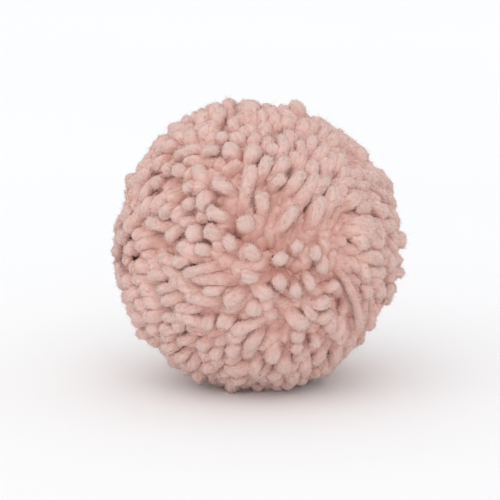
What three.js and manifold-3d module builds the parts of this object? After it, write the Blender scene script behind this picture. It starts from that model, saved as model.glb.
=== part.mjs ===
// Yarn pom pom: a ball of cut, combed yarn locks that all spring from one bound middle.
// Millimetres and degrees, +Z up. The origin is on the surface that the ball rests on, under its middle.
// The ball is one solid: every lock is a bent four-sided bar whose root is fused into the bound middle, and
// which stands apart from its neighbours from there to its cut end.
import * as THREE from "three";
import { mergeVertices } from "three/addons/utils/BufferGeometryUtils.js";
import Module from "manifold-3d";

// Driving dimensions
const BALL_RADIUS = 50; // middle of the ball to the lock ends, before a tuft's own reach is added
const MIDDLE_HEIGHT = 47.5; // middle of the ball above the surface: less than the radius, as the ball settles
const BOUND_RADIUS = 21; // the bound middle, where all roots are fused, to its corners
const ROOT_RADIUS = 5; // a root is drawn out to a point, this far from the middle of the ball
const LOCK_COUNT = 300;
const LOCK_WIDTH = 7.6; // flat to flat, near the cut end
const LOCK_WIDTH_SPREAD = 0.12; // share by which locks differ in width
const LOCK_REACH_SPREAD = 1.1; // how far cut ends stand above or below their tuft's reach
const FACE_TILT = 12; // the face that TUFTS is laid out on looks along -Y and this far up

// A lock's shape along its length
const LOCK_SIDES = 4;
const LOCK_STATIONS = [
  { along: 0, width: 0 },
  { along: 0.56, width: 1 },
  { along: 0.87, width: 1 },
  { along: 1, width: 0.64 },
];
const END_DOME = 0.9; // how far the middle of a cut end stands proud of its rim
const BEND_PLACE = 0.8; // share of the reach at which a lock turns from its root's heading to its end's
const LEAST_LEAN = 0.1; // radians: a lock that leans less is turned about itself at random

// Where the ball rests, its lowest locks are shorter and end level on the surface.
const LEAST_CLEARANCE = 0.1; // a lock that would come closer to the surface than this is ended level on it
const LEVEL_END_WIDTH = 0.86; // an end that rests has this share of the lock's width
const STANDING = { from: -0.94, to: -0.74 }; // heights in ball radii: combing grows from none to full

// Tufts of the face. across and up: the tuft's middle as seen square on to the face, from the ball's middle.
// heading: the way its locks are combed, as seen there, anticlockwise from +X. lean: how far they are combed.
// reach: how far its ends stand beyond BALL_RADIUS.
const TUFTS = [
  { name: "crown", across: 2, up: 44, heading: 95, lean: 7, reach: -1 },
  { name: "crown_left", across: -16, up: 43, heading: 100, lean: 13, reach: 1.4 },
  { name: "brow_left", across: -20, up: 32, heading: 180, lean: 13, reach: 0.6 },
  { name: "shoulder_left", across: -37, up: 33, heading: 235, lean: 12, reach: 1.4 },
  { name: "cheek_left", across: -34, up: 18, heading: 250, lean: 14, reach: -0.6 },
  { name: "swirl", across: -15, up: 19, heading: 325, lean: 15, reach: 0 },
  { name: "swath_inner", across: -1, up: 25, heading: 56, lean: 22, reach: 0.6 },
  { name: "swath_middle", across: 9, up: 21, heading: 57, lean: 24, reach: 0.8 },
  { name: "swath_high", across: 18, up: 33, heading: 70, lean: 20, reach: 0.6 },
  { name: "swath_outer", across: 23, up: 18, heading: 60, lean: 23, reach: 0.8 },
  { name: "swath_edge", across: 30, up: 33, heading: 52, lean: 15, reach: 0 },
  { name: "parting_top", across: 1, up: 11, heading: 88, lean: 15, reach: -0.6 },
  { name: "right_high", across: 40, up: 26, heading: 12, lean: 15, reach: 0.4 },
  { name: "right_middle", across: 39, up: 14, heading: 355, lean: 17, reach: 0.8 },
  { name: "right_low", across: 39, up: -3, heading: 350, lean: 18, reach: 0.6 },
  { name: "right_heel", across: 40, up: -16, heading: 285, lean: 9, reach: -1 },
  { name: "parting_right", across: 22, up: 2, heading: 80, lean: 13, reach: -0.4 },
  { name: "centre", across: 4, up: -4, heading: 0, lean: 2, reach: -0.4 },
  { name: "centre_low", across: 13, up: -22, heading: 320, lean: 14, reach: 0.4 },
  { name: "chin_right", across: 21, up: -34, heading: 255, lean: 13, reach: 1.2 },
  { name: "heel_right", across: 32, up: -29, heading: 290, lean: 11, reach: -1.2 },
  { name: "chin", across: -1, up: -36, heading: 240, lean: 15, reach: 0 },
  { name: "chin_left", across: -12, up: -40, heading: 235, lean: 10, reach: 0.4 },
  { name: "left_high", across: -34, up: 4, heading: 172, lean: 17, reach: -1.6 },
  { name: "left_middle", across: -25, up: -6, heading: 165, lean: 19, reach: -0.4 },
  { name: "left_inner", across: -12, up: -14, heading: 205, lean: 19, reach: 0.2 },
  { name: "left_low", across: -24, up: -21, heading: 180, lean: 20, reach: 0 },
  { name: "left_heel", across: -32, up: -33, heading: 215, lean: 9, reach: 1.4 },
  { name: "left_tips", across: -13, up: 5, heading: 0, lean: 2, reach: 0 },
];
const TUFT_SIZE = 13; // how far a tuft's combing carries over the ball before its neighbours take over

// The rest of the ball has tufts too, spread evenly, each combed its own way.
const FAR_TUFT_COUNT = 30;
const FAR_TUFT_LEAN = { least: 6, most: 20 };

// Room between locks, in shares of the spacing that LOCK_COUNT even locks would have
const EVEN_SPACING = Math.sqrt((8 * Math.PI) / (Math.sqrt(3) * LOCK_COUNT)); // radians
const END_SHIFT = 0.25; // how far ends are first shifted from even places
const ENDS_APART = 0.97;
const ROOTS_APART = 0.88;
const NEIGHBOURS_WITHIN = 1.6;
const SPREADING_PASSES = 100;

const STEEPEST_COMBING = 0.5; // most that the combing may change over a stretch of the ball, as a share of it
const EASING_PASSES = 40;
const WIDEST_IN_ROOM = 0.71; // a lock is no wider than this share of the way to its nearest neighbour
const MIDDLE_TURN = 0.45; // how far a lock has turned from its root's heading to its end's halfway along

const SEED = 11;
const GOLDEN_ANGLE = Math.PI * (3 - Math.sqrt(5));
const LEAST = 1e-9;
const STRAIGHT_DOWN = new THREE.Vector3(0, 0, -1);
const { degToRad, lerp, smoothstep } = THREE.MathUtils;

// A seeded row of numbers from 0 to 1, the same on every run.
function makeRandom(seed) {
  let state = seed;
  return () => {
    state = (state + 0x6d2b79f5) | 0;
    let mixed = Math.imul(state ^ (state >>> 15), 1 | state);
    mixed = (mixed + Math.imul(mixed ^ (mixed >>> 7), 61 | mixed)) ^ mixed;
    return ((mixed ^ (mixed >>> 14)) >>> 0) / 2 ** 32;
  };
}
const random = makeRandom(SEED);
const between = (low, high) => lerp(low, high, random());
const randomVector = () => new THREE.Vector3(between(-1, 1), between(-1, 1), between(-1, 1));

// Directions spread evenly over the ball, from straight down to straight up.
function evenDirections(count) {
  return Array.from({ length: count }, (_, i) => {
    const z = -1 + (2 * i + 1) / count;
    const around = i * GOLDEN_ANGLE;
    const ring = Math.sqrt(1 - z * z);
    return new THREE.Vector3(ring * Math.cos(around), ring * Math.sin(around), z);
  });
}

// Pushes directions apart until none lie closer than `apart` radians. The first one is held where it is.
function spreadOut(directions, apart) {
  const push = new THREE.Vector3();
  for (let pass = 0; pass < SPREADING_PASSES; pass++) {
    directions.forEach((a, i) => {
      for (let j = i + 1; j < directions.length; j++) {
        const b = directions[j];
        push.subVectors(b, a);
        const short = apart - push.length();
        if (short > 0) {
          push.setLength(short / 2);
          b.add(push).normalize();
          if (i > 0) {
            a.sub(push).normalize();
          }
        }
      }
    });
  }
}

// The face's own axes: to the right, up over the face, and out towards whoever looks at it.
const faceRight = new THREE.Vector3(1, 0, 0);
const faceUp = new THREE.Vector3(0, Math.sin(degToRad(FACE_TILT)), Math.cos(degToRad(FACE_TILT)));
const faceOut = new THREE.Vector3().crossVectors(faceRight, faceUp);

// The part of a vector that lies along the ball's surface at a direction.
const alongSurface = (vector, direction) =>
  vector.clone().addScaledVector(direction, -vector.dot(direction));

function faceTuft({ across, up, heading, lean, reach }) {
  const out = Math.sqrt(Math.max(LEAST, BALL_RADIUS ** 2 - across ** 2 - up ** 2));
  const direction = new THREE.Vector3()
    .addScaledVector(faceRight, across)
    .addScaledVector(faceUp, up)
    .addScaledVector(faceOut, out)
    .normalize();
  const comb = new THREE.Vector3()
    .addScaledVector(faceRight, Math.cos(degToRad(heading)))
    .addScaledVector(faceUp, Math.sin(degToRad(heading)));
  return { direction, comb: alongSurface(comb, direction).setLength(degToRad(lean)), reach };
}

function farTuft(direction) {
  const comb = alongSurface(randomVector(), direction);
  const lean = between(FAR_TUFT_LEAN.least, FAR_TUFT_LEAN.most);
  return { direction, comb: comb.setLength(degToRad(lean)), reach: between(-1, 1) };
}

function allTufts() {
  const face = TUFTS.map(faceTuft);
  const faceEdge = (2 * TUFT_SIZE) / BALL_RADIUS;
  const clearOfFace = (direction) =>
    face.every((tuft) => tuft.direction.distanceTo(direction) > faceEdge);
  const far = evenDirections(FAR_TUFT_COUNT).filter(clearOfFace).map(farTuft);
  return [...face, ...far];
}

// How the yarn is combed at a direction: the tufts' own combing, each counting for less with distance.
function combingAt(direction, tufts) {
  const comb = new THREE.Vector3();
  let reach = 0;
  let total = LEAST;
  for (const tuft of tufts) {
    const away = (tuft.direction.distanceTo(direction) * BALL_RADIUS) / TUFT_SIZE;
    const weight = Math.exp(-away * away);
    comb.addScaledVector(tuft.comb, weight);
    reach += tuft.reach * weight;
    total += weight;
  }
  const standing = smoothstep(direction.z, STANDING.from, STANDING.to);
  return { comb: alongSurface(comb.multiplyScalar(standing / total), direction), reach: reach / total };
}

// Evens out the combing, so that neighbours never lean so differently that they cross. Each pass takes any
// two that differ by more than STEEPEST_COMBING of the distance between them towards each other.
function easeCombings(combings, ends) {
  const change = new THREE.Vector3();
  for (let pass = 0; pass < EASING_PASSES; pass++) {
    combings.forEach((a, i) => {
      for (let j = i + 1; j < combings.length; j++) {
        const b = combings[j];
        const apart = ends[i].distanceTo(ends[j]);
        change.subVectors(b.comb, a.comb);
        const over = change.length() - STEEPEST_COMBING * apart;
        if (over > 0 && apart < NEIGHBOURS_WITHIN * EVEN_SPACING) {
          change.setLength(over / 2);
          a.comb.add(change);
          b.comb.sub(change);
        }
      }
    });
  }
}

// How far a direction is from the nearest of the others, in millimetres on the ball.
function roomAround(i, directions) {
  const others = directions.filter((_, j) => j !== i);
  return BALL_RADIUS * Math.min(...others.map((other) => other.distanceTo(directions[i])));
}

// Where each lock starts and ends. Ends are spread evenly, and roots lie back along the combing.
function layOutLocks() {
  const tufts = allTufts();
  const ends = evenDirections(LOCK_COUNT);
  ends[0].copy(STRAIGHT_DOWN);
  ends.slice(1).forEach((end) => {
    end.addScaledVector(randomVector(), END_SHIFT * EVEN_SPACING).normalize();
  });
  spreadOut(ends, ENDS_APART * EVEN_SPACING);
  const combings = ends.map((end) => combingAt(end, tufts));
  easeCombings(combings, ends);
  const roots = ends.map((end, i) => end.clone().sub(combings[i].comb).normalize());
  spreadOut(roots, ROOTS_APART * EVEN_SPACING);
  const middles = ends.map((end, i) => roots[i].clone().lerp(end, MIDDLE_TURN).normalize());
  return ends.map((end, i) => {
    const reach = BALL_RADIUS + combings[i].reach + between(-LOCK_REACH_SPREAD, LOCK_REACH_SPREAD);
    const width = LOCK_WIDTH * (1 + between(-LOCK_WIDTH_SPREAD, LOCK_WIDTH_SPREAD));
    const widest = WIDEST_IN_ROOM * Math.min(roomAround(i, ends), roomAround(i, middles));
    return { end, root: roots[i], reach, width: Math.min(widest, width), spin: randomVector() };
  });
}

// The square that a lock has at each of its stations: its middle, its heading, and its two half sides.
function lockFrames(lock, reach, rests) {
  const curve = new THREE.QuadraticBezierCurve3(
    lock.root.clone().setLength(ROOT_RADIUS),
    lock.root.clone().setLength(BEND_PLACE * reach),
    lock.end.clone().setLength(reach),
  );
  const leaning = lock.end.clone().sub(lock.root);
  const facing = leaning.length() > LEAST_LEAN ? leaning : lock.spin;
  return LOCK_STATIONS.map(({ along, width }) => {
    const level = rests && along === 1;
    const at = curve.getPoint(along);
    const heading = level ? STRAIGHT_DOWN : curve.getTangent(along);
    const side = alongSurface(facing, heading).normalize();
    const over = new THREE.Vector3().crossVectors(side, heading);
    const share = level ? LEVEL_END_WIDTH : width;
    const half = (lock.width * share * Math.min(1, at.length() / BALL_RADIUS)) / 2;
    // A lock that leans is pressed flatter, so that it takes no more room among its neighbours.
    const upright = level ? 1 : heading.dot(at) / at.length();
    const dome = along === 1 && !level ? END_DOME : 0;
    return { at, heading, side: side.multiplyScalar(half * upright), over: over.multiplyScalar(half), dome };
  });
}

// A lock as a closed four-sided bar in the ball's own frame, drawn out to a point at its root.
function lockBar(lock, reach, rests) {
  const frames = lockFrames(lock, reach, rests);
  const steps = frames.length - 1;
  const bar = new THREE.CylinderGeometry(1, 0, 1, LOCK_SIDES, steps);
  const corners = bar.getAttribute("position");
  const spot = new THREE.Vector3();
  for (let i = 0; i < corners.count; i++) {
    spot.fromBufferAttribute(corners, i);
    const frame = frames[Math.round((spot.y + 0.5) * steps)];
    // A ring's corners lie on its own axes. Turned by 45 degrees they make a square that is 2 across.
    const radius = Math.hypot(spot.x, spot.z);
    const onRim = radius > LEAST;
    const across = onRim ? (spot.x - spot.z) / radius : 0;
    const over = onRim ? (spot.x + spot.z) / radius : 0;
    spot
      .copy(frame.at)
      .addScaledVector(frame.side, across)
      .addScaledVector(frame.over, over)
      .addScaledVector(frame.heading, onRim ? 0 : frame.dome);
    corners.setXYZ(i, spot.x, spot.y, spot.z);
  }
  bar.computeBoundingBox();
  return bar;
}

function lockGeometry(lock) {
  const free = lockBar(lock, lock.reach, false);
  if (free.boundingBox.min.z > LEAST_CLEARANCE - MIDDLE_HEIGHT) {
    return free;
  }
  return lockBar(lock, MIDDLE_HEIGHT / -lock.end.z, true);
}

const wasm = await Module();
wasm.setup();

// A three.js geometry as a manifold-3d solid, for joining.
function toSolid(geometry) {
  geometry.deleteAttribute("normal");
  geometry.deleteAttribute("uv");
  const merged = mergeVertices(geometry);
  return new wasm.Manifold(
    new wasm.Mesh({
      numProp: 3,
      vertProperties: new Float32Array(merged.getAttribute("position").array),
      triVerts: new Uint32Array(merged.index.array),
    }),
  );
}

function toGeometry(solid) {
  const { vertProperties, triVerts } = solid.getMesh();
  const geometry = new THREE.BufferGeometry();
  geometry.setAttribute("position", new THREE.BufferAttribute(vertProperties, 3));
  geometry.setIndex(new THREE.BufferAttribute(triVerts, 1));
  geometry.computeVertexNormals();
  return geometry;
}

function pomPom() {
  const middle = toSolid(new THREE.IcosahedronGeometry(BOUND_RADIUS));
  const locks = layOutLocks().map((lock) => toSolid(lockGeometry(lock)));
  const ball = wasm.Manifold.union([middle, ...locks]);
  const yarn = new THREE.MeshStandardMaterial({ color: 0xdcb4aa, roughness: 0.95, metalness: 0 });
  const mesh = new THREE.Mesh(toGeometry(ball), yarn);
  mesh.name = "pompom";
  const box = ball.boundingBox();
  mesh.position.set(-(box.min[0] + box.max[0]) / 2, -(box.min[1] + box.max[1]) / 2, MIDDLE_HEIGHT);
  return mesh;
}

const group = new THREE.Group();
group.add(pomPom());
export default group;
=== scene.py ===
import math

import bpy
import numpy as np
from mathutils import Matrix, Vector
from mathutils.kdtree import KDTree


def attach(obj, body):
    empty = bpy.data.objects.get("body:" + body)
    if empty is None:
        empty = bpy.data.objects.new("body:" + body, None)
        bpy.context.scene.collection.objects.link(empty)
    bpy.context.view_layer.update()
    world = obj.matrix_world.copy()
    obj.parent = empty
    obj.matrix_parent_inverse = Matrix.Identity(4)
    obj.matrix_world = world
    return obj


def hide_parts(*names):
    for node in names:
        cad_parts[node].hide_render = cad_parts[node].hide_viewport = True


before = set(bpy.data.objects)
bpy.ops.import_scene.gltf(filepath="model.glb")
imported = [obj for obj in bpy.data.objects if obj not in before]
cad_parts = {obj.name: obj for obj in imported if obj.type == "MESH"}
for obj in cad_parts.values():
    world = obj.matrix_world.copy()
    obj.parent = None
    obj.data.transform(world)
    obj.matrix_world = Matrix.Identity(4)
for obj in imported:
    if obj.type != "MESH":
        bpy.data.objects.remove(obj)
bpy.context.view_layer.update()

# ---------------------------------------------------------------- sizes, in millimetres and degrees
MM = 0.001
BALL_RADIUS = 50
MIDDLE_HEIGHT = 47.5  # middle of the ball above the surface
FACE_TILT = 12  # the face that the tables are laid out on looks along -Y and this far up

STRAND_COUNT = 1120  # about: most strands of the table below take a common one's place
YARN_WIDTH = 4.9  # across a strand where nothing squeezes it
YARN_WIDTH_SPREAD = 0.2  # share by which strands differ in width
REACH_SPREAD = 1.0  # how far cut ends stand above or below their tuft's reach
ROOT_RADIUS = 15  # strands start this far from the middle, where the tie binds them
RISE = 2.1  # how early a strand reaches the outside of the ball: 1 would be steadily
TURN = 1.6  # how late a strand turns from its root's heading to its end's: 1 would be steadily
LONG_TURN = (22, 34)  # degrees of turn over which a strand comes to lie flat on the pile
TURN_SPREAD = 2.2  # degrees by which a strand strays from the combing of its tuft

TUFT_SIZE = 10  # how far a tuft's combing carries over the ball before its neighbours take over
FACE_EDGE = 26  # tufts of the far side lie at least this far from those of the face
FAR_TUFT_COUNT = 30
FAR_TUFT_LEAN = (6, 20)
FAR_TUFT_SEED = 11
STANDING = (-0.94, -0.74)  # heights in ball radii: combing grows from none to full

SEED = 3

# Tufts of the face. across and up: the tuft's middle as seen square on to the face, from the ball's
# middle. heading: the way its strands are combed, as seen there, anticlockwise from +X. lean: how far
# they are combed. reach: how far its ends stand beyond BALL_RADIUS.
TUFTS = [
    # name, across, up, heading, lean, reach
    ("crown", 2, 44, 95, 7, -1),
    ("crown_left", -16, 43, 100, 13, 1.4),
    ("brow_left", -20, 32, 180, 13, 0.6),
    ("shoulder_left", -37, 33, 235, 12, 1.4),
    ("cheek_left", -34, 18, 250, 14, -0.6),
    ("swirl", -15, 19, 325, 15, 0),
    ("swath_inner", -1, 25, 56, 22, 0.6),
    ("swath_middle", 9, 21, 57, 24, 0.8),
    ("swath_high", 18, 33, 70, 20, 0.6),
    ("swath_outer", 23, 18, 60, 23, 0.8),
    ("swath_edge", 30, 33, 52, 15, 0),
    ("parting_top", 1, 11, 88, 15, -0.6),
    ("right_high", 40, 26, 12, 15, 0.4),
    ("right_middle", 39, 14, 355, 17, 0.8),
    ("right_low", 39, -3, 350, 18, 0.6),
    ("right_heel", 40, -16, 285, 9, -1),
    ("parting_right", 22, 2, 80, 13, -0.4),
    ("centre", 4, -4, 0, 2, -0.4),
    ("centre_low", 13, -22, 320, 14, 0.4),
    ("chin_right", 21, -34, 255, 13, 1.2),
    ("heel_right", 32, -29, 290, 11, -1.2),
    ("chin", -1, -36, 240, 15, 0),
    ("chin_left", -12, -40, 235, 10, 0.4),
    ("left_high", -34, 4, 172, 17, -1.6),
    ("left_middle", -25, -6, 165, 19, -0.4),
    ("left_inner", -12, -14, 205, 19, 0.2),
    ("left_low", -24, -21, 180, 20, 0),
    ("left_heel", -32, -33, 215, 9, 1.4),
    ("left_tips", -13, 5, 0, 2, 0),
]

# The photograph's scale. Places in the two tables below were measured on it, in its pixels,
# from its upper left.
PHOTO_SIDE = 500
BALL_PLACE = (258, 246)  # the ball's middle
MM_PER_PIXEL = 0.347

# Strands of the face that lie on top of the pile, each from its foot, where it comes up between its
# neighbours, to its cut end. reach: how far its end stands beyond BALL_RADIUS.
TOP_STRANDS = [
    # end x, end y, foot x, foot y, reach, width as a share of YARN_WIDTH
    # crown and brow
    (228, 104, 229, 126, 1.8, 1),
    (217, 105, 214, 120, 1.2, 1),
    (201, 110, 204, 124, 1.4, 1),
    (185, 121, 194, 129, 1.6, 0.9),
    (252, 105, 248, 133, 1.4, 1.05),
    (173, 131, 186, 126, 1.4, 1.1),
    (160, 139, 175, 130, 1.2, 1),
    (297, 106, 296, 122, 2.0, 1),
    (186, 128, 186, 146, 0, 1),
    (199, 126, 199, 146, 0.2, 1),
    (211, 124, 210, 146, 0.2, 1),
    (216, 152, 189, 152, 1.0, 1),
    (221, 138, 221, 141, 0.6, 1),
    (232, 150, 236, 160, 1.0, 1.1),
    (237, 138, 240, 144, 0.4, 0.9),
    (256, 152, 243, 169, 0.8, 1),
    # swath
    (270, 165, 247, 195, 1.0, 1),
    (285, 164, 258, 193, 0.8, 1),
    (279, 179, 264, 193, 1.0, 1),
    (300, 179, 277, 204, 1.4, 1.05),
    (273, 150, 268, 158, 0.6, 0.9),
    (296, 158, 287, 174, 0.4, 1),
    (310, 168, 302, 192, 0.8, 1),
    (324, 150, 304, 174, 0.8, 1),
    (339, 160, 323, 184, 0.8, 1),
    (323, 182, 299, 214, 1.2, 1),
    (334, 194, 316, 227, 1.2, 1),
    (292, 213, 268, 242, 2.0, 1),
    (261, 200, 265, 227, 0.6, 1.1),
    (342, 170, 341, 190, 0.6, 0.9),
    (314, 143, 306, 160, 0.6, 1),
    # right
    (373, 176, 347, 181, 1.0, 1),
    (355, 202, 335, 203, 1.4, 1),
    (357, 204, 382, 207, 0.8, 1),
    (362, 243, 353, 218, 1.2, 0.95),
    (393, 227, 360, 222, 0.8, 1),
    (403, 241, 392, 240, 1.6, 1),
    (401, 273, 388, 270, 1.4, 0.9),
    (377, 259, 345, 254, 0.8, 1),
    (379, 275, 347, 268, 0.8, 1),
    (367, 293, 368, 283, 0.4, 1),
    (380, 293, 382, 283, 0.4, 1),
    # swirl
    (197, 172, 211, 190, 1.0, 1.1),
    (169, 171, 172, 165, 1.2, 1),
    (180, 173, 183, 166, 1.2, 1),
    (157, 184, 162, 175, 1.0, 0.9),
    (192, 189, 190, 180, 1.2, 1),
    (203, 205, 210, 184, 1.2, 1),
    (193, 206, 191, 198, 1.4, 0.95),
    (166, 213, 169, 198, 1.0, 0.9),
    (218, 184, 243, 197, 1.2, 1),
    (213, 213, 236, 231, 1.2, 1.05),
    (247, 222, 249, 232, 1.6, 1.05),
    (213, 231, 222, 240, 1.2, 1),
    (226, 242, 236, 252, 1.2, 1),
    # left
    (193, 233, 199, 233, 0.8, 1),
    (152, 223, 186, 229, 0.6, 1),
    (200, 251, 214, 253, 1.4, 1),
    (247, 251, 264, 266, 1.4, 1.05),
    (190, 273, 240, 262, 1.4, 1),
    (179, 262, 200, 258, 0.8, 1),
    (155, 272, 177, 277, 0.8, 1),
    (163, 288, 197, 281, 0.8, 1),
    (168, 298, 197, 292, 0.6, 1),
    (209, 290, 234, 289, 1.0, 1.1),
    (231, 301, 253, 286, 1.4, 1.05),
    (179, 308, 226, 305, 0.2, 0.9),
    (247, 274, 264, 285, 1.4, 1.05),
    (253, 308, 258, 299, 1.0, 1.1),
    # chin
    (177, 325, 182, 320, 0.6, 1),
    (167, 337, 174, 330, 0.8, 1),
    (205, 324, 212, 318, 0.8, 1),
    (225, 324, 231, 316, 0.8, 1),
    (232, 350, 238, 341, 1.0, 1),
    (214, 353, 221, 343, 0.8, 1),
    (250, 345, 264, 324, 1.0, 1.1),
    (253, 371, 262, 352, 0.8, 1),
    (193, 364, 200, 354, 1.6, 0.9),
    (233, 386, 232, 372, 2.0, 0.9),
    (271, 358, 275, 334, 0.6, 1.05),
    (285, 368, 285, 348, 0.8, 1),
    (304, 368, 310, 353, 0.8, 1),
    (323, 371, 329, 351, 0.8, 1),
    # centre and below it to the right
    (279, 258, 280, 261, 1.8, 1.05),
    (297, 246, 297, 256, 1.0, 1),
    (314, 257, 316, 248, 1.0, 1),
    (320, 266, 322, 250, 0.8, 0.9),
    (279, 283, 282, 277, 1.2, 1.15),
    (294, 290, 293, 281, 1.2, 1),
    (308, 286, 306, 268, 0.6, 0.9),
    (321, 303, 301, 305, 1.0, 1),
    (301, 323, 276, 306, 0.8, 1.15),
    (326, 317, 304, 320, 0.6, 1),
    (297, 336, 299, 330, 1.2, 1),
    (296, 347, 299, 340, 1.0, 1),
    (314, 342, 317, 333, 0.8, 1),
    (348, 342, 347, 332, 1.0, 1.1),
    # the thin stray one
    (355, 324, 331, 252, 2.2, 0.6),
]

# Hollows of the face, where ends stand lower and the dark between the strands shows.
HOLLOWS = [
    # x, y, half width in millimetres, depth in millimetres
    (174, 186, 5, 6.5),
    (187, 194, 4.5, 6.5),
    (232, 174, 5.5, 8),
    (232, 207, 6, 9),
    (203, 161, 3, 4),
    (189, 211, 3, 5),
    (142, 229, 3.5, 2),
    (240, 230, 3.5, 8),
    (259, 240, 5.5, 12),
    (281, 243, 5.5, 11),
    (287, 208, 3.5, 6),
    (343, 217, 5, 8),
    (341, 238, 5, 8),
    (274, 268, 5.5, 11),
    (295, 272, 4, 9),
    (319, 276, 5, 9),
    (310, 295, 3, 6),
    (344, 276, 3.5, 6),
    (355, 294, 3.5, 6),
    (250, 319, 3.5, 8),
    (260, 338, 3.5, 8),
    (254, 352, 3.5, 8),
    (277, 330, 5, 9),
    (188, 333, 3, 6),
    (156, 281, 3, 4.5),
    (200, 302, 3, 4),
    (239, 277, 3, 6),
    (213, 262, 3, 6),
]

# ---------------------------------------------------------------- vectors
GOLDEN_ANGLE = math.pi * (3 - math.sqrt(5))
LEAST = 1e-9
OUT_OF_REACH = 9  # taken as the distance of a direction from itself, so that it never pushes itself
rng = np.random.default_rng(SEED)

face_right = np.array([1.0, 0.0, 0.0])
face_up = np.array([0.0, math.sin(math.radians(FACE_TILT)), math.cos(math.radians(FACE_TILT))])
face_out = np.cross(face_right, face_up)


def unit(v):
    return v / np.maximum(np.linalg.norm(v, axis=-1, keepdims=True), LEAST)


def along_surface(v, direction):
    """The part of a vector that lies along the ball's surface at a direction."""
    return v - direction * (v * direction).sum(-1, keepdims=True)


def smoothstep(x, low, high):
    t = np.clip((x - low) / (high - low), 0, 1)
    return t * t * (3 - 2 * t)


def on_photo(x, y):
    """The direction from the ball's middle to what is seen at a place in the photograph."""
    return unit(on_face((x - BALL_PLACE[0]) * MM_PER_PIXEL, (BALL_PLACE[1] - y) * MM_PER_PIXEL))


def on_face(across, up, radius=BALL_RADIUS):
    """The place on a ball of that radius that is seen at across, up on the face."""
    out = np.sqrt(np.maximum(radius**2 - across**2 - up**2, LEAST))
    return across * face_right + up * face_up + out * face_out


# ---------------------------------------------------------------- combing
def even_directions(count):
    i = np.arange(count)
    z = -1 + (2 * i + 1) / count
    around = i * GOLDEN_ANGLE
    ring = np.sqrt(1 - z * z)
    return np.stack([ring * np.cos(around), ring * np.sin(around), z], 1)


def seeded_row(seed):
    """The row of random numbers that the solids' far tufts are made with."""
    mask = 0xFFFFFFFF
    state = seed
    while True:
        state = (state + 0x6D2B79F5) & mask
        mixed = (state ^ (state >> 15)) * (1 | state) & mask
        mixed = (mixed + ((mixed ^ (mixed >> 7)) * (61 | mixed) & mask) & mask) ^ mixed
        yield (mixed ^ (mixed >> 14)) / 2**32


def all_tufts():
    """Each tuft's direction, its combing as a step over a ball of radius 1, and its reach."""
    rows = []
    for _, across, up, heading, lean, reach in TUFTS:
        direction = unit(on_face(across, up))
        turn = math.radians(heading)
        comb = along_surface(math.cos(turn) * face_right + math.sin(turn) * face_up, direction)
        rows.append((direction, unit(comb) * math.radians(lean), reach))
    face = np.array([row[0] for row in rows])
    row = seeded_row(FAR_TUFT_SEED)
    for direction in even_directions(FAR_TUFT_COUNT):
        if np.linalg.norm(face - direction, axis=1).min() > FACE_EDGE / BALL_RADIUS:
            comb = along_surface(np.array([2 * next(row) - 1 for _ in range(3)]), direction)
            lean = FAR_TUFT_LEAN[0] + next(row) * (FAR_TUFT_LEAN[1] - FAR_TUFT_LEAN[0])
            rows.append((direction, unit(comb) * math.radians(lean), 2 * next(row) - 1))
    return [np.array(column) for column in zip(*rows)]


def combing_at(directions, tufts):
    places, combs, reaches = tufts
    away = np.linalg.norm(directions[:, None] - places, axis=2) * BALL_RADIUS / TUFT_SIZE
    weight = np.exp(-away * away)
    weight /= weight.sum(1, keepdims=True) + LEAST
    standing = smoothstep(directions[:, 2:], *STANDING)
    return along_surface(weight @ combs * standing, directions), weight @ reaches


# ---------------------------------------------------------------- how strands lie
CHAIN = 12  # points along a strand while it settles among its neighbours
CHAIN_ALONG = np.linspace(0, 1, CHAIN)
EVEN_SPACING = math.sqrt(8 * math.pi / (math.sqrt(3) * STRAND_COUNT))  # on a ball of radius 1
SQUEEZED = 0.5 * EVEN_SPACING  # half width, as a share of the radius, of strands that fill the ball
END_SCATTER = 0.25  # how far cut ends stray from even places, as a share of the even spacing
ENDS_APART = 0.9  # share of the even spacing that cut ends are then spread to
ENDS_PASSES = 40
ROOTS_PASSES = 30
COMBING_VARIES = (0.8, 1.2)
FLAT_RISE = 1.5  # how much earlier than RISE strands that lie flat reach the outside of the ball
RESTING = 0.75  # height of a strand that rests on the surface, over its half width
TABLE_HELD = 0.75  # share by which the neighbours of a strand of the table can't move it
FREE_ALONG = (0.25, 0.8)  # shares of a strand's length between which it comes free to move
BEND_KEPT = 0.4
DRAWN_BACK = 0.03  # share of the way back to where it was combed that a strand goes in each pass
SETTLING_PASSES = 90
CONTACTS_EVERY = 9
CONTACT_MARGIN = 1.2
SPREADING = 0.12  # how firmly strands with room to spare are spread, next to how firmly they push
SPREADING_REACH = 1.15  # how far apart they are spread, as a share of their width
SOFTNESS = 0.6  # strands press into each other until their middles are this share of a width apart
CLEARED = 0.8  # share of the even spacing within which a table's strand takes a common one's place
COMBING = 1.4  # how much further strands are combed than the locks of the solids
ROOTS_APART = 0.6  # share of the even spacing
UNDER_SHARE = 0.62  # share of the strands that end under others where the yarn is combed flat
UNDER_DEPTH = 4.5
UNDER_LEAN = (8, 20)  # degrees of combing over which they come to end that far down


def spread_out(directions, apart, passes):
    """Pushes directions away from each other until none are closer than that."""
    itself = np.eye(len(directions)) * OUT_OF_REACH
    for _ in range(passes):
        gaps = directions[:, None] - directions
        distance = np.linalg.norm(gaps, axis=2) + itself
        push = np.clip(apart - distance, 0, None) / 2
        directions = unit(directions + (gaps / distance[..., None] * push[..., None]).sum(1))
    return directions


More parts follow.
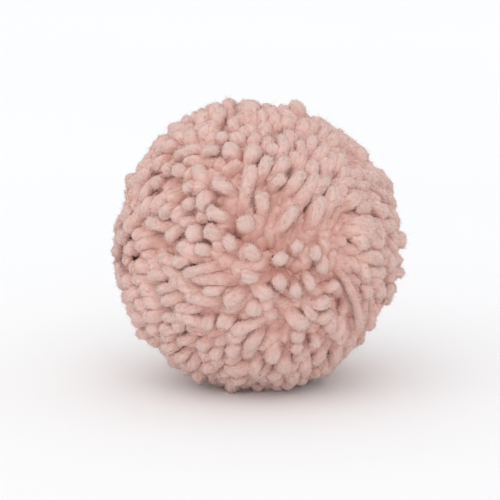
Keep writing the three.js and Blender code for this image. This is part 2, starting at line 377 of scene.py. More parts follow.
def lie(roots, ends, reach, along):
    """The path of each strand: up from its root, then over towards where it is combed."""
    flat = smoothstep(np.degrees(np.linalg.norm(ends - roots, axis=1)), *LONG_TURN)[:, None]
    rise = 1 - (1 - along) ** (RISE + FLAT_RISE * flat)
    turn = along ** TURN
    heading = unit(roots[:, None] * (1 - turn)[:, None] + ends[:, None] * turn[:, None])
    radius = ROOT_RADIUS + (reach[:, None] - ROOT_RADIUS) * rise
    return heading * radius[..., None]


def hollow_depth(directions):
    """How much lower ends stand at each direction, for the hollows of the face."""
    depth = np.zeros(len(directions))
    for x, y, half_width, deepest in HOLLOWS:
        away = np.linalg.norm(directions - on_photo(x, y), axis=1) * BALL_RADIUS / half_width
        depth = np.maximum(depth, deepest * np.exp(-away * away))
    return depth


def common_ends(top_ends):
    """Directions of the cut ends that the table doesn't give, with room left for those it gives."""
    ends = even_directions(STRAND_COUNT)
    ends = unit(ends + rng.uniform(-1, 1, ends.shape) * EVEN_SPACING * END_SCATTER)
    ends = spread_out(ends, ENDS_APART * EVEN_SPACING, ENDS_PASSES)
    for top in top_ends:
        apart = np.linalg.norm(ends - top, axis=1)
        if apart.min() < CLEARED * EVEN_SPACING:
            ends = np.delete(ends, apart.argmin(), axis=0)
    return ends


def combed(ends):
    """Directions of the roots of strands that end at these directions, and how far they reach."""
    comb, reach = combing_at(ends, all_tufts())
    comb = comb * COMBING * rng.uniform(*COMBING_VARIES, (len(ends), 1))
    comb = comb + along_surface(rng.normal(0, math.radians(TURN_SPREAD), ends.shape), ends)
    roots = spread_out(unit(ends - comb), ROOTS_APART * EVEN_SPACING, ROOTS_PASSES)
    lean = np.degrees(np.linalg.norm(ends - roots, axis=1))
    under = rng.uniform(0, 1, len(ends)) < UNDER_SHARE
    lower = np.where(under, UNDER_DEPTH * smoothstep(lean, *UNDER_LEAN), 0)
    reach = BALL_RADIUS + reach + rng.uniform(-REACH_SPREAD, REACH_SPREAD, len(reach))
    return roots, reach - np.maximum(lower, hollow_depth(ends))


def lay_strands():
    """Chains of points, from root to cut end, and each strand's half width."""
    table = np.array(TOP_STRANDS, float)
    top_ends = np.array([on_photo(x, y) for x, y in table[:, 0:2]])
    top_roots = np.array([on_photo(x, y) for x, y in table[:, 2:4]])
    ends = common_ends(top_ends)
    roots, reach = combed(ends)
    roots = np.concatenate([top_roots, roots])
    ends = np.concatenate([top_ends, ends])
    reach = np.concatenate([BALL_RADIUS + table[:, 4], reach])
    half = YARN_WIDTH / 2 * (1 + rng.uniform(-YARN_WIDTH_SPREAD, YARN_WIDTH_SPREAD, len(ends)))
    half[: len(table)] *= table[:, 5]
    # The last point of a chain is the middle of the rounded end, half a width short of the reach.
    reach = reach - half
    down = np.maximum(-ends[:, 2], LEAST)
    rests = (ends[:, 2] < 0) & (reach * down > MIDDLE_HEIGHT - half)
    reach = np.where(rests, (MIDDLE_HEIGHT - RESTING * half) / down, reach)
    chain = lie(roots, ends, reach, CHAIN_ALONG)
    held = np.zeros(len(ends))
    held[: len(table)] = TABLE_HELD
    return settle(chain, half, held), half


def half_widths(chain, half):
    """Half the width of each strand along its chain, squeezed thin towards the middle of the ball."""
    return np.minimum(half[:, None], SQUEEZED * np.linalg.norm(chain, axis=2))


def tree_of(points):
    tree = KDTree(len(points))
    for i, point in enumerate(points):
        tree.insert(point, i)
    tree.balance()
    return tree


def contacts(flat, owner):
    """Pairs of points of different strands that are close enough to touch in the next passes."""
    tree = tree_of(flat)
    within = YARN_WIDTH * (1 + YARN_WIDTH_SPREAD) + CONTACT_MARGIN
    pairs = [
        (i, j)
        for i, point in enumerate(flat)
        for _, j, _ in tree.find_range(point, within)
        if j > i and owner[i] != owner[j]
    ]
    return np.array(pairs).T


def push_apart(flat, a, b, radii, loose):
    """How far each point moves off the points of other strands that it is too close to."""
    gap = flat[b] - flat[a]
    distance = np.linalg.norm(gap, axis=1) + LEAST
    wide = radii[a] + radii[b]
    short = np.maximum(SOFTNESS * wide - distance, 0)
    short += SPREADING * np.maximum(SPREADING_REACH * wide - distance, 0)
    touching = short > 0
    i, j = a[touching], b[touching]
    push = gap[touching] / distance[touching, None] * short[touching, None]
    total = loose[i] + loose[j] + LEAST
    move = np.zeros_like(flat)
    for axis in range(3):
        move[:, axis] += np.bincount(j, push[:, axis] * loose[j] / total, len(flat))
        move[:, axis] -= np.bincount(i, push[:, axis] * loose[i] / total, len(flat))
    count = np.bincount(i, minlength=len(flat)) + np.bincount(j, minlength=len(flat))
    return move / np.maximum(1, 0.5 * count)[:, None]


def keep_bend(chain, target, freedom):
    """Smooths each strand to its own bend, and draws it back a little to where it was combed."""
    bend = (chain[:, :-2] + chain[:, 2:]) / 2 - chain[:, 1:-1]
    own = (target[:, :-2] + target[:, 2:]) / 2 - target[:, 1:-1]
    chain[:, 1:-1] += BEND_KEPT * (bend - own) * freedom[:, 1:-1, None]
    chain += DRAWN_BACK * (target - chain)


def keep_lengths(chain, lengths, freedom):
    for k in range(1, CHAIN):
        step_out = chain[:, k] - chain[:, k - 1]
        want = chain[:, k - 1] + unit(step_out) * lengths[:, k - 1 : k]
        chain[:, k] += (want - chain[:, k]) * np.minimum(1, 2 * freedom[:, k])[:, None]


def settle(chain, half, held):
    """Pushes strands apart until they lie side by side, each keeping its length and most of its bend."""
    target = chain.copy()
    lengths = np.linalg.norm(np.diff(chain, axis=1), axis=2)
    owner = np.repeat(np.arange(len(chain)), CHAIN)
    freedom = smoothstep(CHAIN_ALONG, *FREE_ALONG)[None] * (1 - held)[:, None]
    outer = np.linalg.norm(chain[:, -1], axis=1)[:, None, None]
    lowest = RESTING * half[:, None] - MIDDLE_HEIGHT
    for step in range(SETTLING_PASSES):
        flat = chain.reshape(-1, 3)
        if step % CONTACTS_EVERY == 0:
            a, b = contacts(flat, owner)
        radii = half_widths(chain, half).ravel()
        move = push_apart(flat, a, b, radii, freedom.ravel())
        chain = chain + move.reshape(chain.shape)
        keep_bend(chain, target, freedom)
        chain *= np.minimum(1, outer / np.linalg.norm(chain, axis=2, keepdims=True))
        keep_lengths(chain, lengths, freedom)
        chain[..., 2] = np.maximum(chain[..., 2], lowest)
    return chain


# ---------------------------------------------------------------- strands as tubes
SIDES = 10
ROUND = np.arange(SIDES) * 2 * math.pi / SIDES
RING_ALONG = np.concatenate([[0, 0.2, 0.38], np.linspace(0.5, 1, 9)])  # closer where strands show
BODY_RINGS = len(RING_ALONG)
WIDEST = 1.6  # half width of the tubes deep in the ball, as a share of SQUEEZED
FILLING = 0.6  # how much wider strands are where they fill the ball under the pile
FILLED = (40, 47.5)  # millimetres from the middle between which they narrow to their own width
DOME_ANGLES = np.radians([0, 28, 52, 73])
DOME_LENGTH = 0.8  # height of the rounded end over its half width
LUMPS = [
    # bumps round the strand, bumps along it per millimetre (least, most), size over the half width
    (0, 0.02, 0.10, 0.08),
    (0, 0.15, 0.40, 0.03),
    (1, 0.02, 0.12, 0.06),
    (2, 0.01, 0.08, 0.09),
    (3, 0.04, 0.20, 0.04),
    (4, 0.10, 0.35, 0.025),
]
ROUGHNESS = 0.07  # how uneven the outside is from point to point, as a share of the half width
END_LUMP = 0.12  # how uneven the rounded end is, as a share of the half width
FIRST_SIDE = np.array([0.31, 0.52, 0.79])  # where the count of sides starts at a root: any way will do


def spline(points, along):
    """A smooth curve through each chain's points, read at places along it from 0 to 1."""
    last = points.shape[1] - 1
    place = np.clip(along * last, 0, last - 1e-6)
    k = place.astype(int)
    t = (place - k)[None, :, None]
    before = 2 * points[:, :1] - points[:, 1:2]
    after = 2 * points[:, -1:] - points[:, -2:-1]
    padded = np.concatenate([before, points, after], 1)
    p0, p1, p2, p3 = (padded[:, k + i] for i in range(4))
    first = (p2 - p0) * t
    second = (2 * p0 - 5 * p1 + 4 * p2 - p3) * t**2
    third = (3 * p1 - p0 - 3 * p2 + p3) * t**3
    return 0.5 * (2 * p1 + first + second + third)


def frames_along(curve):
    """The heading at each place on each curve, and two directions across it that don't turn about it."""
    heading = unit(np.gradient(curve, axis=1))
    side = np.empty_like(curve)
    side[:, 0] = unit(along_surface(FIRST_SIDE, heading[:, 0]))
    for k in range(1, curve.shape[1]):
        side[:, k] = unit(along_surface(side[:, k - 1], heading[:, k]))
    return heading, side, np.cross(heading, side)


def lumps(arc):
    """How much wider than its half width a strand is at each point of its rings."""
    count = len(arc)
    swell = np.ones((*arc.shape, SIDES))
    for round_it, least, most, size in LUMPS:
        rate = rng.uniform(least, most, (count, 1, 1)) * 2 * math.pi
        start = rng.uniform(0, 2 * math.pi, (count, 1, 1))
        swell += size * np.cos(round_it * ROUND + rate * arc[..., None] + start)
    return swell + rng.normal(0, ROUGHNESS, swell.shape)


def tubes(chain, half):
    """Each strand's rings of points, how far along it each ring lies, its headings and its last point."""
    curve = spline(chain, RING_ALONG)
    heading, side, over = frames_along(curve)
    step = np.linalg.norm(np.diff(curve, axis=1), axis=2)
    arc = np.concatenate([np.zeros((len(chain), 1)), np.cumsum(step, axis=1)], 1)
    radius = np.linalg.norm(curve, axis=2)
    full = half[:, None] * (1 + FILLING * (1 - smoothstep(radius, *FILLED)))
    width = np.minimum(full, SQUEEZED * radius * WIDEST)
    # The dome's rings carry on from the last ring of the body.
    rise = np.sin(DOME_ANGLES[1:]) * DOME_LENGTH
    shrink = np.cos(DOME_ANGLES[1:])
    last = curve[:, -1:] + heading[:, -1:] * (half[:, None] * rise)[..., None]
    curve = np.concatenate([curve, last], 1)
    arc = np.concatenate([arc, arc[:, -1:] + half[:, None] * rise], 1)
    width = np.concatenate([width, half[:, None] * shrink], 1)
    ring = np.minimum(np.arange(arc.shape[1]), BODY_RINGS - 1)
    heading, side, over = heading[:, ring], side[:, ring], over[:, ring]
    across = width[..., None] * lumps(arc)
    points = (
        curve[:, :, None]
        + side[:, :, None] * (across * np.cos(ROUND))[..., None]
        + over[:, :, None] * (across * np.sin(ROUND))[..., None]
    )
    # The rounded end is a little uneven: its rings tilt, the more the nearer they are to its last point.
    dome = np.concatenate([np.zeros(BODY_RINGS), np.sin(DOME_ANGLES[1:])])[None, :, None, None]
    tilt = rng.normal(0, END_LUMP, (len(chain), 2))
    slope = tilt[:, :1] * np.cos(ROUND) + tilt[:, 1:] * np.sin(ROUND)
    points = points + dome * heading[:, :, None] * (half[:, None, None] * slope[:, None])[..., None]
    left = half * (1 - np.sin(DOME_ANGLES[-1])) * DOME_LENGTH
    tip = curve[:, -1] + heading[:, -1] * left[:, None]
    return points, arc, heading, tip


DEPTH_CELL = 2.5  # millimetres across the cells that the top of the pile is found in


def pile_depth(points):
    """How far each point lies under the top of the pile round it, in millimetres.

    The top of each cell is the highest point in it and its neighbours, averaged over them."""
    flat = points.reshape(-1, 3)
    radius = np.linalg.norm(flat, axis=1)
    cell = np.round(unit(flat) * BALL_RADIUS / DEPTH_CELL).astype(int)
    cell -= cell.min(0) - 1
    top = np.zeros(cell.max(0) + 2)
    place = tuple(cell.T)
    np.maximum.at(top, place, radius)
    for axis in range(3):
        top = np.maximum(top, np.maximum(np.roll(top, 1, axis), np.roll(top, -1, axis)))
    level, filled = top, (top > 0).astype(float)
    for axis in range(3):
        level = level + np.roll(level, 1, axis) + np.roll(level, -1, axis)
        filled = filled + np.roll(filled, 1, axis) + np.roll(filled, -1, axis)
    return (level[place] / filled[place] - radius).reshape(points.shape[:-1])


def rest_on_floor(points):
    """Presses whatever would lie under the surface flat against it."""
    points[..., 2] = np.maximum(points[..., 2], -MIDDLE_HEIGHT)
    return points


# ---------------------------------------------------------------- meshes
BALL_MIDDLE = Vector((0, 0, MIDDLE_HEIGHT * MM))
CELL_EDGE = 0.03  # share of its square on the map that stays free round a strand
GRAIN_APART = 50  # the yarn's grain is read this far off at most, so that no two strands are alike
CREASE_LIGHT_FADES = (0, 1.2)  # room beside a strand over which the painted light of its creases, a lighter warm tint, fades
TWIST = 0.22  # radians that the yarn's fibres turn about it in a millimetre
ALONG_FIBRE = 0.16  # how much slower the yarn's grain changes along it than across it


def mesh_piece(name, points, quads, triangles, corner_uv, attributes, material):
    """A piece of the pom pom from arrays: points in millimetres, faces as rows of point numbers."""
    mesh = bpy.data.meshes.new(name)
    corners = np.concatenate([quads.ravel(), triangles.ravel()]).astype(np.int32)
    starts = np.concatenate([4 * np.arange(len(quads)), quads.size + 3 * np.arange(len(triangles))])
    mesh.vertices.add(len(points))
    mesh.vertices.foreach_set("co", (points * MM + np.array(BALL_MIDDLE)).ravel().astype(np.float32))
    mesh.loops.add(len(corners))
    mesh.loops.foreach_set("vertex_index", corners)
    mesh.polygons.add(len(starts))
    mesh.polygons.foreach_set("loop_start", starts.astype(np.int32))
    mesh.update(calc_edges=True)
    mesh.uv_layers.new(name="OFBake").data.foreach_set("uv", corner_uv.ravel().astype(np.float32))
    for label, values in attributes.items():
        kind, field = ("FLOAT_VECTOR", "vector") if values.ndim == 2 else ("FLOAT", "value")
        attribute = mesh.attributes.new(label, kind, "POINT")
        attribute.data.foreach_set(field, values.ravel().astype(np.float32))
    mesh.shade_smooth()
    mesh.materials.append(material)
    mesh.validate()
    piece = bpy.data.objects.new(name, mesh)
    bpy.context.scene.collection.objects.link(piece)
    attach(piece, "root")
    return piece


SECTORS = [
    # name, the way that its strands point
    ("front", (0, -1)),
    ("right", (1, 0)),
    ("back", (0, 1)),
    ("left", (-1, 0)),
]


def sector_of(directions):
    ways = np.array([way for _, way in SECTORS], float)
    return (directions[:, :2] @ ways.T).argmax(1)


def squares(total):
    """Which square of the map each item has, and how many squares lie side by side."""
    grid = math.ceil(math.sqrt(total))
    item = np.arange(total)
    return np.stack([item % grid, item // grid], 1)[:, None], grid


def strand_faces(rings):
    """Point numbers of one tube's faces. After the rings come its cut end's last point and its root's."""
    ring, side = np.meshgrid(np.arange(rings - 1), np.arange(SIDES), indexing="ij")
    beside = (side + 1) % SIDES
    low, high = ring * SIDES, (ring + 1) * SIDES
    quads = np.stack([low + side, low + beside, high + beside, high + side], -1).reshape(-1, 4)
    k = np.arange(SIDES)
    beside = (k + 1) % SIDES
    outermost = (rings - 1) * SIDES
    tip, root = np.full(SIDES, rings * SIDES), np.full(SIDES, rings * SIDES + 1)
    end = np.stack([outermost + k, outermost + beside, tip], 1)
    start = np.stack([beside, k, root], 1)
    return quads, np.concatenate([end, start])


def strand_uv(rings):
    """The corners' places on one tube's own rectangle, 1 by 1, in the order of strand_faces."""
    ring, side = np.meshgrid(np.arange(rings - 1), np.arange(SIDES), indexing="ij")
    u0, u1 = side / SIDES, (side + 1) / SIDES
    v0, v1 = (ring + 1) / (rings + 1), (ring + 2) / (rings + 1)
    quads = np.stack([u0, v0, u1, v0, u1, v1, u0, v1], -1).reshape(-1, 2)
    k = np.arange(SIDES)
    a, b, mid = k / SIDES, (k + 1) / SIDES, (k + 0.5) / SIDES
    top, low = np.full(SIDES, rings / (rings + 1)), np.full(SIDES, 1 / (rings + 1))
    end = np.stack([a, top, b, top, mid, np.ones(SIDES)], -1).reshape(-1, 2)
    start = np.stack([b, low, a, low, mid, np.zeros(SIDES)], -1).reshape(-1, 2)
    return np.concatenate([quads, end, start])


def per_point(rings, tip, root):
    """One row a point, strand by strand: the values of its rings, then its cut end's and its root's."""
    total = len(rings)
    flat = rings.reshape(total, rings.shape[1] * SIDES, -1)
    both = np.stack([tip.reshape(total, -1), root.reshape(total, -1)], 1)
    return np.concatenate([flat, both], 1).reshape(total * (flat.shape[1] + 2), -1)


def shade_of(values):
    """One number a point, where the cut end has the least of its last ring's and the root the average."""
    return per_point(values, values[:, -1].min(1), values[:, 0].mean(1)).ravel()


def grain_places(arc):
    """Where each point lies in the yarn's grain, which runs along the strand and twists about it."""
    turn = ROUND + TWIST * arc[..., None]
    along = np.broadcast_to(arc[..., None] * ALONG_FIBRE, turn.shape)
    offset = rng.uniform(-GRAIN_APART, GRAIN_APART, (len(arc), 3))
    return np.stack([np.cos(turn), np.sin(turn), along], -1) + offset[:, None, None]


def make_strands(points, arc, tip, depth, crease_light, material):
    """The pieces of yarn, one for each sector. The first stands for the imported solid."""
    count, rings = points.shape[:2]
    root = points[:, 0].mean(1)
    tone = rng.uniform(0, 1, count)
    fibre = grain_places(arc)
    from_end = np.broadcast_to((arc[:, -1:] - arc)[..., None], depth.shape)
    sector = sector_of(unit(points[:, BODY_RINGS - 1].mean(1)))
    quads, triangles = strand_faces(rings)
    uv = CELL_EDGE + (1 - 2 * CELL_EDGE) * strand_uv(rings)
    per_strand = rings * SIDES + 2
    for number, (name, _) in enumerate(SECTORS):
        chosen = np.flatnonzero(sector == number)
        total = len(chosen)
        own = fibre[chosen]
        attributes = {
            "fibre": per_point(own, own[:, -1].mean(1), own[:, 0].mean(1)),
            "from_end": per_point(from_end[chosen], np.zeros(total), from_end[chosen, 0, 0]).ravel(),
            "tone": np.repeat(tone[chosen], per_strand),
            "depth": shade_of(depth[chosen]),
            "crease_light": shade_of(crease_light[chosen]),
        }
        first = (np.arange(total) * per_strand)[:, None, None]
        # The quads of all strands come before the triangles, in the faces and on the map alike.
        square, grid = squares(total)
        placed = (square + uv) / grid
        split = len(quads) * 4
        corner_uv = [placed[:, :split].reshape(-1, 2), placed[:, split:].reshape(-1, 2)]
        piece = mesh_piece(
            "yarn_" + name,
            per_point(points[chosen], tip[chosen], root[chosen]),
            (quads + first).reshape(-1, 4),
            (triangles + first).reshape(-1, 3),
            np.concatenate(corner_uv),
            attributes,
            material,
        )
        if number == 0:
            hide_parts("pompom")


# ---------------------------------------------------------------- fuzz
# Three kinds of short straight fibres, and one of longer curved ones. Fluff fills the creases between
# strands, more fluff covers the tops of strands, and fine hairs stand out of those.
CREASE_COUNT = 65000
CREASE_HALF_WIDTH = 0.14
CREASE_LENGTH = (0.7, 1.6)
CREASE_WIDTH = 1.1  # how close a strand's side is to the next one, about, where fluff fills the crease
CREASE_UPWARD = 1.5  # how much more fibres lean out of the ball than off their strand
FLUFF_COUNT = 60000
FLUFF_HALF_WIDTH = 0.16
FLUFF_LENGTH = (0.5, 1.1)
FLUFF_UPWARD = 0.3
NEEDLE_COUNT = 12000
NEEDLE_HALF_WIDTH = 0.06
NEEDLE_LENGTH = (0.9, 2.8)
NEEDLE_UPWARD = 0
FIBRE_COUNT = 9500
FIBRE_HALF_WIDTH = 0.045
FIBRE_LENGTH = (1.2, 4.2)
FUZZ_DOWN_TO = 8  # fibres grow on what lies less deep than this under the top of the pile
ON_TOP = (-0.5, 1)  # room beside a strand over which its fluff and fine hairs set in
GAP_DEPTH = (1, 5)  # depths over which longer fibres grow thicker on the ground
GAP_LEAST = 0.4  # how thickly they grow above that, next to how much thicker they grow below it
SHADED_TO_PALE = (42, 50)  # millimetres from the middle between which the painted shade on fibres fades and they grow paler
PALENESS = (0.4, 1)  # how pale the palest fibres are, from fibre to fibre
NEEDLE_OUT = 0.5  # how far short fibres stand off their strand, next to how far they lean and stray
NEEDLE_ALONG = (0.4, 0.5)  # how far short fibres lean along their strand: average and spread
NEEDLE_STRAY = 0.35
NEEDLE_SUNK = 0.1  # how far a short fibre's root lies inside its strand
FIBRE_ALONG = (0.25, 0.6)
FIBRE_STRAY = 0.55
FIBRE_CURL = 0.45
FIBRE_SUNK = 0.15
FIBRE_TAPER = 0.8  # width of a long fibre halfway along, over its width at the root
BARELY_SHOWN = 0.05  # the room beside what shows less than this is not measured
FAR_OFF = 9.0  # stands for the room where none is measured
NEIGHBOURS = 12  # how many of the nearest spots are searched for one of another strand
SPOTS = 3 * CHAIN  # spots along each strand that the room beside it is measured to


def sample_surface(points, heading, arc, weight, wanted):
    """Places on the strands, the way out of the strand there, and the strand's heading."""
    count, rings = points.shape[:2]
    middle = points.mean(2)
    length = np.gradient(arc, axis=1)[..., None]
    weight = np.clip(weight * length, 0, None)[:, :-1].ravel()
    chosen = rng.choice(len(weight), wanted, p=weight / weight.sum())
    strand, ring, side = np.unravel_index(chosen, (count, rings - 1, SIDES))
    t, s = rng.uniform(0, 1, (2, wanted, 1))
    beside = (side + 1) % SIDES
    low = points[strand, ring, side] * (1 - s) + points[strand, ring, beside] * s
    high = points[strand, ring + 1, side] * (1 - s) + points[strand, ring + 1, beside] * s
    place = low * (1 - t) + high * t
    centre = middle[strand, ring] * (1 - t) + middle[strand, ring + 1] * t
    return place, unit(place - centre), heading[strand, ring]


def room_beside(points, chain, half, shown):
    """How far each point that shows is from the next strand's surface, in millimetres."""
    spots = spline(chain, np.linspace(0, 1, SPOTS)).reshape(-1, 3)
    owner = np.repeat(np.arange(len(chain)), SPOTS)
    tree = tree_of(spots)
    room = np.full(points.shape[:3], FAR_OFF)
    for place in np.argwhere(shown > BARELY_SHOWN):
        point = points[tuple(place)]
        for _, i, distance in tree.find_n(point, NEIGHBOURS):
            if owner[i] != place[0]:
                room[tuple(place)] = distance - half[owner[i]]
                break
    return room


def ring_round(place, way, half_width):
    """Three points round a place, across a way."""
    side = unit(np.cross(way, rng.normal(0, 1, way.shape)))[:, None]
    over = np.cross(way, side[:, 0])[:, None]
    angle = (np.arange(3) * 2 * math.pi / 3)[:, None]
    return place[:, None] + half_width * (side * np.cos(angle) + over * np.sin(angle))


def needles(points, heading, arc, weight, count, half_width, lengths, upward):
    """Short straight fibres: the points of each, three at its root and one at its end."""
    place, out, along = sample_surface(points, heading, arc, weight, count)
    length = rng.uniform(*lengths, (count, 1))
    out = unit(out + upward * unit(place))
    lean = NEEDLE_OUT * out + along * rng.normal(*NEEDLE_ALONG, (count, 1))
    lean = unit(lean + rng.normal(0, NEEDLE_STRAY, out.shape))
    start = place - out * NEEDLE_SUNK
    low = ring_round(start, lean, half_width)
    return np.concatenate([low, (start + lean * length)[:, None]], 1)


def fibres(points, heading, arc, weight):
    """Longer curved fibres: three points at the root, three halfway, and one at the end."""
    place, out, along = sample_surface(points, heading, arc, weight, FIBRE_COUNT)
    length = rng.uniform(*FIBRE_LENGTH, (FIBRE_COUNT, 1))
    lean = out + along * rng.normal(*FIBRE_ALONG, (FIBRE_COUNT, 1))
    lean = unit(lean + rng.normal(0, FIBRE_STRAY, out.shape))
    curl = rng.normal(0, FIBRE_CURL, out.shape)
    start = place - out * FIBRE_SUNK
    middle = start + lean * length * 0.5
    end = middle + unit(lean + curl) * length * 0.5
    low = ring_round(start, lean, FIBRE_HALF_WIDTH)
    high = middle[:, None] + (low - start[:, None]) * FIBRE_TAPER
    return np.concatenate([low, high, end[:, None]], 1)


NEEDLE_FACES = np.array([[0, 2, 1], [0, 1, 3], [1, 2, 3], [2, 0, 3]])
NEEDLE_UV = np.array([[0.1, 0.1], [0.9, 0.1], [0.5, 0.4], [0.5, 0.9]])
FIBRE_ROOT = [[0, 2, 1]]
FIBRE_SIDES = [[0, 1, 4], [0, 4, 3], [1, 2, 5], [1, 5, 4], [2, 0, 3], [2, 3, 5]]
FIBRE_END = [[3, 4, 6], [4, 5, 6], [5, 3, 6]]
FIBRE_FACES = np.array(FIBRE_ROOT + FIBRE_SIDES + FIBRE_END)
FIBRE_UV = np.array([[0.1, 0.1], [0.5, 0.05], [0.9, 0.1], [0.1, 0.6], [0.5, 0.5], [0.9, 0.6], [0.5, 0.95]])


def make_fuzz(name, verts, faces, uv, material):
    """Pieces of fuzz, one for each sector, from each fibre's points. Fibres in the surface are left out."""
    verts = verts[verts[..., 2].min(1) > -MIDDLE_HEIGHT]
    sector = sector_of(unit(verts[:, 0]))
    size = verts.shape[1]
    # Painted shade: deeper fibres are warmer and darker, standing in for the light that reaches them
    # through yarn.
    tone = rng.uniform(*PALENESS, len(verts))
    tone = tone * smoothstep(np.linalg.norm(verts[:, 0], axis=1), *SHADED_TO_PALE)
    for number, (side, _) in enumerate(SECTORS):
        chosen = np.flatnonzero(sector == number)
        total = len(chosen)
        first = (np.arange(total) * size)[:, None, None]
        square, grid = squares(total)
        mesh_piece(
            name + "_" + side,
            verts[chosen].reshape(-1, 3),
            np.zeros((0, 4), int),
            (faces + first).reshape(-1, 3),
            ((square + uv[faces.ravel()]) / grid).reshape(-1, 2),
            {"tone": np.repeat(tone[chosen], size)},
            material,
        )


# ---------------------------------------------------------------- materials
YARN_COLOURS_AND_SHADE = [
    # share of the way down into the pile and back from the cut end, colour; the later stops are painted
    # shade, warmer and then darker
    (0, (0.67, 0.52, 0.48)),
    (0.22, (0.765, 0.52, 0.463)),
    (0.6, (0.65, 0.355, 0.30)),
    (1, (0.66, 0.355, 0.30)),
]
PALE_STRAND = (0.78, 0.54, 0.47, 1)  # some strands come this much nearer to this colour than others
PALE_SHARE = 0.35
# Painted light: the creases between strands are lit up with this lighter, warmer colour, standing in for
# light that passes through the yarn.
CREASE_PAINTED_LIGHT = (0.90, 0.63, 0.56, 1)
CREASE_PAINTED_LIGHT_SHARE = 0.7
STREAKS = [
    # height of the grain, what the colour is multiplied by
    (0.32, (0.85, 0.76, 0.73)),
    (0.6, (1, 1, 1)),
]
STREAK_SHARE = 0.8
SHADE_BACK_FROM_END = 14.0  # millimetres from the cut end over which a strand grows warmer with painted shade
SHADE_BACK_SHARE = 0.3
SHADE_DEPTHS = (0.5, 7.0)  # millimetres under the pile's top over which painted shade makes it warmer and darker
SHADE_DEPTH_SHARE = 0.9
GRAIN_HEIGHT = 0.7  # shares of the two noises in the bump
TUFT_HEIGHT = 0.6
BUMP_STRENGTH = 0.55
BUMP_DISTANCE = 0.0006  # metres
FUZZ_COLOURS_AND_SHADE = [
    # paleness, colour; the warm end also carries the painted shade of deep fibres
    (0, (0.91, 0.59, 0.51)),
    (1, (0.91, 0.74, 0.685)),
]
FLOOR_COLOURS = [
    # height of the noise, colour
    (0.3, (0.93, 0.93, 0.93)),
    (0.7, (0.945, 0.943, 0.94)),
]


class Nodes:
    """A material's node tree, with a short way to add and link nodes."""

    def __init__(self, name):
        self.material = bpy.data.materials.new(name)
        self.material.use_nodes = True
        self.tree = self.material.node_tree
        self.shader = self.tree.nodes["Principled BSDF"]

    def add(self, kind, links=None, **settings):
        node = self.tree.nodes.new("ShaderNode" + kind)
        for key, value in settings.items():
            setattr(node, key, value)
        for socket, value in (links or {}).items():
            self.set(node.inputs[socket], value)
        return node

    def set(self, socket, value):
        if isinstance(value, bpy.types.NodeSocket):
            self.tree.links.new(value, socket)
        else:
            socket.default_value = value

    def stored(self, name, output="Fac"):
        """The values of one of the mesh's own attributes."""
        return self.add("Attribute", attribute_name=name).outputs[output]

    def noise(self, place, scale, detail, roughness=0.5):
        """Noise read at a place, or where nothing is given, over the piece itself."""
        links = {"Scale": scale, "Detail": detail, "Roughness": roughness}
        if place is not None:
            links["Vector"] = place
        return self.add("TexNoise", links).outputs["Fac"]

    def share_of(self, value, low, high):
        """How far a value lies between two others, from 0 to 1."""
        return self.add("MapRange", {"Value": value, "From Min": low, "From Max": high}).outputs[0]

    def ramp(self, value, stops):
        node = self.add("ValToRGB", {"Fac": value})
        ramp = node.color_ramp
        while len(ramp.elements) < len(stops):
            ramp.elements.new(0.5)
        for element, (place, colour) in zip(ramp.elements, stops):
            element.position = place
            element.color = (*colour, 1)
        return node.outputs["Color"]

    def mix(self, share, a, b, kind="MIX"):
        node = self.add("Mix", data_type="RGBA", blend_type=kind)
        self.set(node.inputs[0], share)
        self.set(node.inputs[6], a)
        self.set(node.inputs[7], b)
        return node.outputs[2]

    def maths(self, kind, a, b):
        node = self.add("Math", operation=kind)
        self.set(node.inputs[0], a)
        self.set(node.inputs[1], b)
        return node.outputs[0]


def yarn_material():
    n = Nodes("yarn")
    tone, from_end, depth, crease_light = (n.stored(name) for name in ("tone", "from_end", "depth", "crease_light"))
    fibre = n.stored("fibre", "Vector")
    grain = n.noise(fibre, 2.6, 4.0, 0.6)
    tuft = n.noise(fibre, 0.7, 2.0)
    # Painted shade: the yarn grows warmer and darker back from its cut end and down into the pile.
    back = n.maths("MULTIPLY", n.share_of(from_end, 0.0, SHADE_BACK_FROM_END), SHADE_BACK_SHARE)
    down = n.maths("MULTIPLY", n.share_of(depth, *SHADE_DEPTHS), SHADE_DEPTH_SHARE)
    side = n.ramp(n.maths("ADD", back, down), YARN_COLOURS_AND_SHADE)
    toned = n.mix(n.maths("MULTIPLY", tone, PALE_SHARE), side, PALE_STRAND)
    # Painted light: the creases are lit up with a lighter, warmer colour.
    crease_lit = n.mix(n.maths("MULTIPLY", crease_light, CREASE_PAINTED_LIGHT_SHARE), toned, CREASE_PAINTED_LIGHT)
    colour = n.mix(STREAK_SHARE, crease_lit, n.ramp(grain, STREAKS), "MULTIPLY")
    n.set(n.shader.inputs["Base Color"], colour)
    fine = n.maths("MULTIPLY", grain, GRAIN_HEIGHT)
    coarse = n.maths("MULTIPLY", tuft, TUFT_HEIGHT)
    height = n.maths("ADD", fine, coarse)
    bump = n.add("Bump", {"Height": height, "Strength": BUMP_STRENGTH, "Distance": BUMP_DISTANCE})
    n.set(n.shader.inputs["Normal"], bump.outputs[0])
    n.set(n.shader.inputs["Roughness"], 0.9)
    n.set(n.shader.inputs["Specular IOR Level"], 0.15)
    n.set(n.shader.inputs["Sheen Weight"], 0.15)
    n.set(n.shader.inputs["Sheen Roughness"], 0.5)
    n.set(n.shader.inputs["Sheen Tint"], (1, 0.9, 0.87, 1))
    return n.material


def fuzz_material():
    n = Nodes("fuzz")
    n.set(n.shader.inputs["Base Color"], n.ramp(n.stored("tone"), FUZZ_COLOURS_AND_SHADE))
    n.set(n.shader.inputs["Roughness"], 0.7)
    n.set(n.shader.inputs["Specular IOR Level"], 0.2)
    return n.material


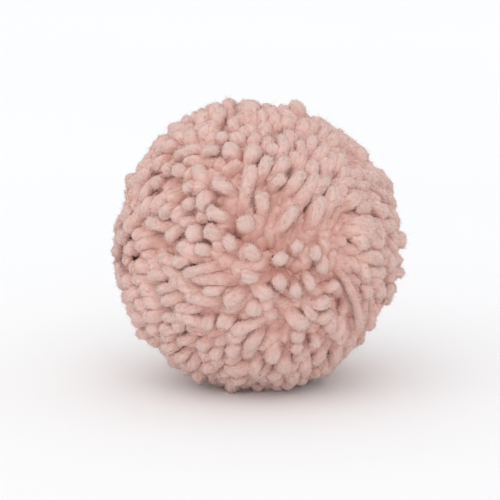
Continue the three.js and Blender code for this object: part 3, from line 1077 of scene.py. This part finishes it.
def floor_material():
    n = Nodes("floor")
    n.set(n.shader.inputs["Base Color"], n.ramp(n.noise(None, 30.0, 2.0), FLOOR_COLOURS))
    n.set(n.shader.inputs["Roughness"], 0.95)
    n.set(n.shader.inputs["Specular IOR Level"], 0.1)
    return n.material


# ---------------------------------------------------------------- floor, light and camera
FLOOR_HALF = 6  # metres from the middle of the floor to its edges
SUN_WAY = (-0.35, -1.0, 0.8)
SUN_STRENGTH = 0.8
SUN_ANGLE = 90  # degrees that the soft light spreads over
SUN_COLOUR = (1, 0.99, 0.98)
STUDIO_COLOUR = (0.97, 0.98, 1, 1)
STUDIO_STRENGTH = 0.92
CAMERA_DISTANCE = 0.9  # metres
SENSOR = 36  # the camera's own sensor width, in millimetres


def make_floor():
    mesh = bpy.data.meshes.new("floor")
    corners = [(x * FLOOR_HALF, y * FLOOR_HALF, 0) for x, y in ((-1, -1), (1, -1), (1, 1), (-1, 1))]
    mesh.from_pydata(corners, [], [(0, 1, 2, 3)])
    mesh.materials.append(floor_material())
    floor = bpy.data.objects.new("floor", mesh)
    bpy.context.scene.collection.objects.link(floor)


def aim(thing, place, target):
    """Puts a light or the camera at a place, looking at its target."""
    way = Vector(target) - Vector(place)
    thing.matrix_world = Matrix.Translation(place) @ way.to_track_quat("-Z", "Y").to_matrix().to_4x4()


def make_lights():
    """Soft light from far off, from above and in front, and bright walls all round."""
    light = bpy.data.lights.new("key", "SUN")
    light.energy = SUN_STRENGTH
    light.angle = math.radians(SUN_ANGLE)
    light.color = SUN_COLOUR
    sun = bpy.data.objects.new("key", light)
    bpy.context.scene.collection.objects.link(sun)
    aim(sun, BALL_MIDDLE + Vector(SUN_WAY), BALL_MIDDLE)
    world = bpy.data.worlds.new("studio")
    world.use_nodes = True
    walls = world.node_tree.nodes["Background"]
    walls.inputs["Color"].default_value = STUDIO_COLOUR
    walls.inputs["Strength"].default_value = STUDIO_STRENGTH
    bpy.context.scene.world = world
    bpy.context.scene.view_settings.view_transform = "Standard"


def make_camera():
    """Looks square on to the face, with the ball where the photograph has it and as large."""
    camera = bpy.data.cameras.new("camera")
    camera.sensor_width = SENSOR
    camera.lens = SENSOR * CAMERA_DISTANCE / (PHOTO_SIDE * MM_PER_PIXEL * MM)
    thing = bpy.data.objects.new("camera", camera)
    bpy.context.scene.collection.objects.link(thing)
    right = (PHOTO_SIDE / 2 - BALL_PLACE[0]) * MM_PER_PIXEL * MM
    up = (BALL_PLACE[1] - PHOTO_SIDE / 2) * MM_PER_PIXEL * MM
    target = BALL_MIDDLE + Vector(face_right) * right + Vector(face_up) * up
    aim(thing, target + Vector(face_out) * CAMERA_DISTANCE, target)
    bpy.context.scene.camera = thing


# ---------------------------------------------------------------- the scene
chain, half = lay_strands()
points, arc, heading, tip = tubes(chain, half)
points, tip = rest_on_floor(points), rest_on_floor(tip)
depth = np.maximum(pile_depth(points), BALL_RADIUS - np.linalg.norm(points, axis=-1))
shown = 1 - smoothstep(depth, 0, FUZZ_DOWN_TO)
room = room_beside(points, chain, half, shown)
# The fifth argument marks the creases that light is painted into.
make_strands(points, arc, tip, depth, 1 - smoothstep(room, *CREASE_LIGHT_FADES), yarn_material())

in_creases = shown * np.exp(-((room / CREASE_WIDTH) ** 2))
on_top = shown * smoothstep(room, *ON_TOP)
in_gaps = shown * (GAP_LEAST + smoothstep(depth, *GAP_DEPTH))
nap = [
    needles(points, heading, arc, weight, *sizes)
    for weight, *sizes in (
        (in_creases, CREASE_COUNT, CREASE_HALF_WIDTH, CREASE_LENGTH, CREASE_UPWARD),
        (on_top, FLUFF_COUNT, FLUFF_HALF_WIDTH, FLUFF_LENGTH, FLUFF_UPWARD),
        (on_top, NEEDLE_COUNT, NEEDLE_HALF_WIDTH, NEEDLE_LENGTH, NEEDLE_UPWARD),
    )
]
fuzz = fuzz_material()
make_fuzz("nap", np.concatenate(nap), NEEDLE_FACES, NEEDLE_UV, fuzz)
make_fuzz("fuzz", fibres(points, heading, arc, in_gaps), FIBRE_FACES, FIBRE_UV, fuzz)
make_floor()
make_lights()
make_camera()
